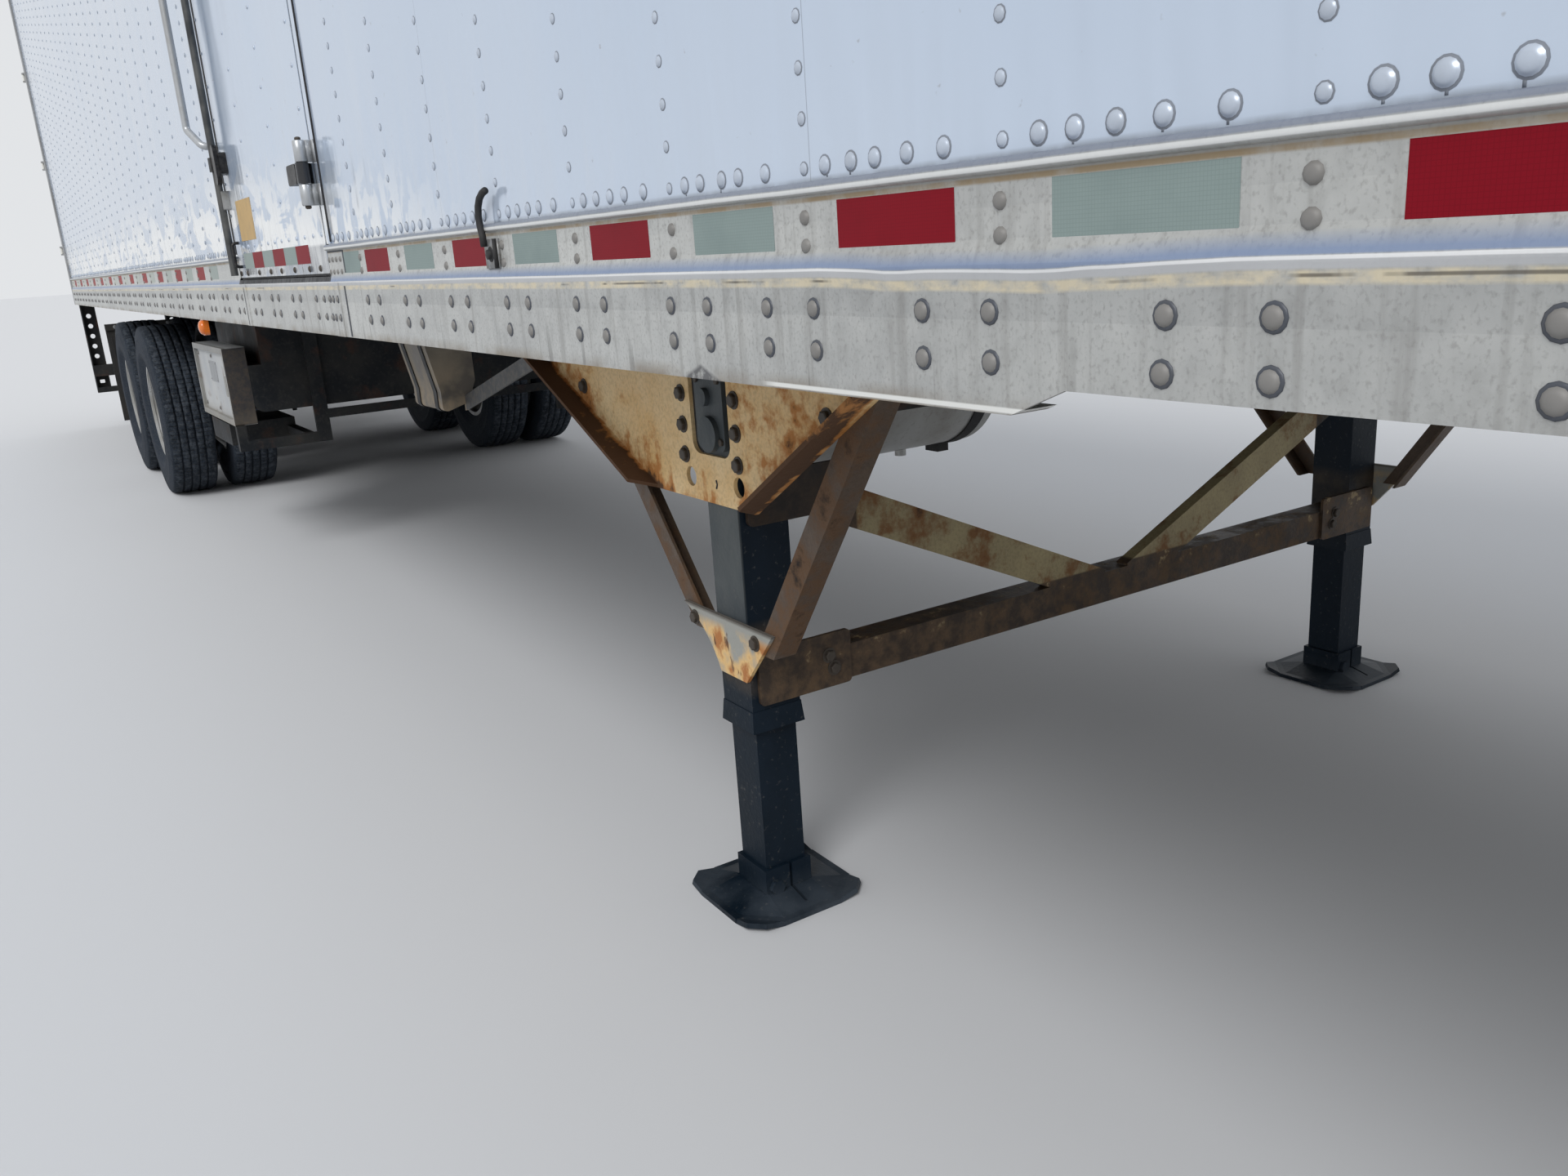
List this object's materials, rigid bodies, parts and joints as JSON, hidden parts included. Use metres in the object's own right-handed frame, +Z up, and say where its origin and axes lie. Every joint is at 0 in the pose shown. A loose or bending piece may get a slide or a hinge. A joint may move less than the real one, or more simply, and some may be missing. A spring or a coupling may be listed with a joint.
{
  "type": "refrigerated van semi-trailer",
  "caption": "Riveted aluminium refrigerated van semi-trailer with hinged doors, sliding tandem axle frame, landing gear and nose cooling unit.",
  "frame": {"origin": "centre of the trailer's footprint, on the ground", "axes": "+X towards the nose, +Y towards the road side, +Z up"},
  "size_m": [15.165, 2.676, 4.115],
  "materials": {
    "aluminium_rail": "dull extruded aluminium, dented and streaked",
    "bright_sheet": "bright riveted sheet with wavy reflections",
    "white_panel": "white prepainted sheet",
    "floor_metal": "worn ribbed floor",
    "black_steel": "dusty black chassis paint",
    "rusty_tan_paint": "tan paint, rust showing through",
    "galvanised_steel": "weathered plated steel",
    "grey_tank": "dull grey tank metal",
    "tyre_rubber": "dusty ribbed tread",
    "bright_rim": "silver painted rim",
    "black_rubber": "matt black rubber",
    "grey_paint": "grey enamel, dusty",
    "lamp_lens": "amber and red lenses",
    "white_plastic": "white moulded panels"
  },
  "bodies": {
    "trailer": {"air_and_electric_connectors": "white_plastic", "axle_frame": "black_steel", "axles": "black_steel", "bottom_rails": "aluminium_rail", "control_cabinet": "grey_paint", "crank_shaft": "black_steel", "cross_box": "black_steel", "cross_brace": "rusty_tan_paint", "crossmembers": "black_steel", "curb_wall": "bright_sheet", "dock_bumpers": "black_rubber", "door_holdback": "galvanised_steel", "floor": "floor_metal", "front_wall": "white_panel", "fuel_tank": "grey_tank", "fuel_tank_straps": "galvanised_steel", "grab_bar": "galvanised_steel", "kingpin": "galvanised_steel", "lamps": "lamp_lens", "leaf_springs": "black_steel", "leg_braces": "rusty_tan_paint", "leg_feet": "black_steel", "leg_inner_tubes": "black_steel", "leg_tubes": "black_steel", "mud_flaps": "black_rubber", "rear_frame": "galvanised_steel", "refrigeration_unit": "white_plastic", "road_wall": "bright_sheet", "roof": "white_panel", "side_door_hinges": "galvanised_steel", "slide_rails": "black_steel", "strapped_tank": "grey_tank", "top_rails": "aluminium_rail", "underride_guard": "black_steel", "upper_coupler": "black_steel", "wing_plates": "rusty_tan_paint"},
    "side_door": {"side_door": "bright_sheet", "side_door_lock": "galvanised_steel"},
    "rear_door_curb": {"rear_door_curb": "white_panel", "lock_rods_curb": "galvanised_steel"},
    "rear_door_road": {"rear_door_road": "white_panel", "lock_rods_road": "galvanised_steel"},
    "wheel_front_curb": {"tyres_front_curb": "tyre_rubber", "wheels_front_curb": "bright_rim"},
    "wheel_front_road": {"tyres_front_road": "tyre_rubber", "wheels_front_road": "bright_rim"},
    "wheel_rear_curb": {"tyres_rear_curb": "tyre_rubber", "wheels_rear_curb": "bright_rim"},
    "wheel_rear_road": {"tyres_rear_road": "tyre_rubber", "wheels_rear_road": "bright_rim"}
  },
  "joints": [
    {"name": "side_door_hinge", "type": "hinge", "parent": "trailer", "child": "side_door", "pos_m": [2.2035, -1.3185, 1.268], "axis": [0, 0, 1], "range_deg": [0, 180]},
    {"name": "rear_door_curb_hinge", "type": "hinge", "parent": "trailer", "child": "rear_door_curb", "pos_m": [-7.5575, -1.3005, 1.363], "axis": [0, 0, 1], "range_deg": [0, 270]},
    {"name": "rear_door_road_hinge", "type": "hinge", "parent": "trailer", "child": "rear_door_road", "pos_m": [-7.5575, 1.3005, 1.363], "axis": [0, 0, -1], "range_deg": [0, 270]},
    {"name": "wheel_front_curb_spin", "type": "hinge", "parent": "trailer", "child": "wheel_front_curb", "pos_m": [-2.8405, -0.984, 0.51], "axis": [0, 1, 0], "continuous": true},
    {"name": "wheel_front_road_spin", "type": "hinge", "parent": "trailer", "child": "wheel_front_road", "pos_m": [-2.8405, 0.984, 0.51], "axis": [0, 1, 0], "continuous": true},
    {"name": "wheel_rear_curb_spin", "type": "hinge", "parent": "trailer", "child": "wheel_rear_curb", "pos_m": [-4.0855, -0.984, 0.51], "axis": [0, 1, 0], "continuous": true},
    {"name": "wheel_rear_road_spin", "type": "hinge", "parent": "trailer", "child": "wheel_rear_road", "pos_m": [-4.0855, 0.984, 0.51], "axis": [0, 1, 0], "continuous": true}
  ]
}
